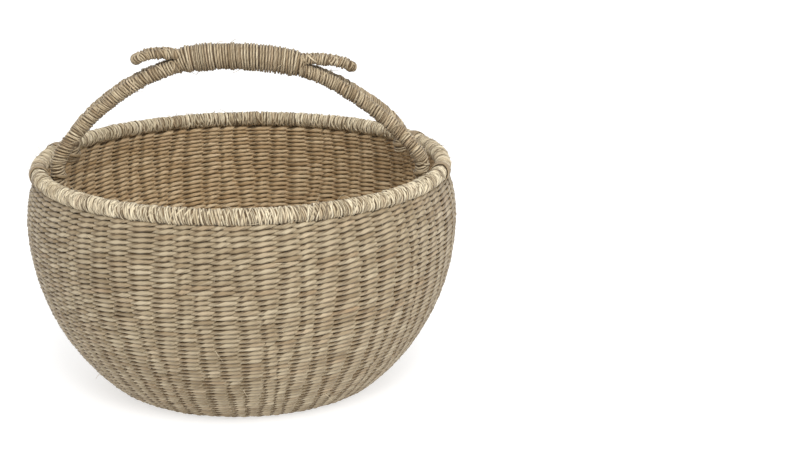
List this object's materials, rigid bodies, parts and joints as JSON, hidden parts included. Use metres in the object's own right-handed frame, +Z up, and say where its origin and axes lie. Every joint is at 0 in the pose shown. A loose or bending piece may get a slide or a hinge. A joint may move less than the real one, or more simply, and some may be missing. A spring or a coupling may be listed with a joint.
{
  "type": "woven fruit basket",
  "caption": "Round woven grass basket with a flat base, bulging sides, a wrapped rim and a fixed carrying handle of crossed wrapped hoops, for fruit, bread or shopping.",
  "frame": {"origin": "centre of the flat base, on the surface the basket stands on", "axes": "+Z up through the mouth; +X along the handle's grip, towards its lower end; +Y across the handle"},
  "size_m": [0.4297, 0.4298, 0.3434],
  "materials": {
    "weave_outside": "dry twined grass, matte",
    "weave_inside": "dry twined grass, matte",
    "stakes": "dry rolled grass, matte",
    "cane": "peeled cane",
    "rim_wrap": "dry wrapped grass, matte",
    "handle_wrap": "dry wrapped grass, matte",
    "leaf_strip": "dry flat leaf, satin"
  },
  "bodies": {
    "root": {"start_pad_outer": "weave_outside", "base_weave_outer": "weave_outside", "lower_weave_outer": "weave_outside", "upper_weave_outer": "weave_outside", "start_pad_inner": "weave_inside", "base_weave_inner": "weave_inside", "lower_weave_inner": "weave_inside", "upper_weave_inner": "weave_inside", "long_stakes": "stakes", "added_stakes": "stakes", "rim_stake_tails": "stakes", "rim_hoop": "cane", "left_hoop_core": "cane", "right_hoop_core": "cane", "rim_wrap": "rim_wrap", "left_hoop_wrap": "handle_wrap", "right_hoop_wrap": "handle_wrap", "grip_binding": "handle_wrap", "front_left_lashing": "leaf_strip", "back_left_lashing": "leaf_strip", "front_right_lashing": "leaf_strip", "back_right_lashing": "leaf_strip"}
  },
  "joints": []
}
